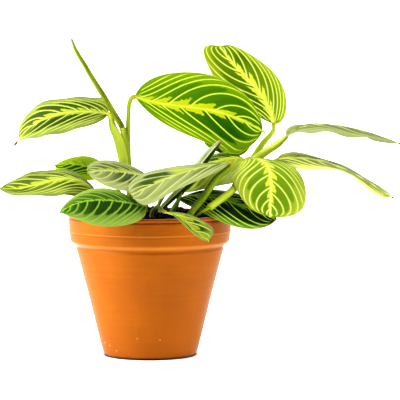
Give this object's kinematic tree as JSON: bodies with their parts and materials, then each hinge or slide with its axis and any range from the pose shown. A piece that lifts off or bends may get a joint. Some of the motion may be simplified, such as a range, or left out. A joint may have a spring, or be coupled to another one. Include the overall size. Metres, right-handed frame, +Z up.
{
  "type": "potted prayer plant",
  "caption": "Potted prayer plant: broad oval leaves with herringbone markings on thin arching stalks, heaped dark soil, and a tapered round clay pot with a collar rim and a drain hole.",
  "frame": {"origin": "middle of the whole plant's footprint, on the surface the pot stands on; the pot's axis is 38 mm to the left and 3 mm behind it", "axes": "+Z up out of the pot, -Y towards the front of the plant, +X to its right seen from the front"},
  "size_m": [0.3158, 0.1708, 0.2511],
  "materials": {
    "clay": "bare fired clay, matt, with fine turning lines",
    "soil": "moist crumbly potting soil, matt",
    "stalk": "smooth yellow-green leaf stalk, soft sheen",
    "stalk_old": "drying olive stalk, matt",
    "leaf_bright": "fresh leaf, bright green with lime rib and veins, satin",
    "leaf_mid": "green leaf with darker blotches and pale veins, satin",
    "leaf_pale": "older leaf, pale grey-green with dark blotches, satin",
    "leaf_dark": "shaded leaf, deep green with lime rib and veins, satin"
  },
  "bodies": {
    "root": {"pot": "clay", "soil": "soil", "shoot_left": "stalk", "stalk_pale_left": "stalk", "shoot_low_left": "stalk", "stalk_rim_front": "stalk", "shoot_centre": "stalk", "shoot_front_right": "stalk", "shoot_right": "stalk", "stalk_rim_right": "stalk", "old_stub": "stalk_old", "old_sheath": "stalk_old", "rolled_leaf_high": "stalk", "rolled_leaf_low": "leaf_pale", "leaf_high_left": "leaf_mid", "leaf_big_top": "leaf_bright", "leaf_back_mid": "leaf_dark", "leaf_top_right": "leaf_bright", "leaf_far_right": "leaf_pale", "leaf_low_right": "leaf_pale", "leaf_front_right": "leaf_bright", "leaf_mid_right": "leaf_dark", "leaf_centre": "leaf_pale", "leaf_pale_left": "leaf_pale", "leaf_far_left": "leaf_mid", "leaf_back_left": "leaf_bright", "leaf_rim_left": "leaf_mid", "leaf_rim_front": "leaf_mid", "leaf_rim_right": "leaf_dark"}
  },
  "joints": []
}
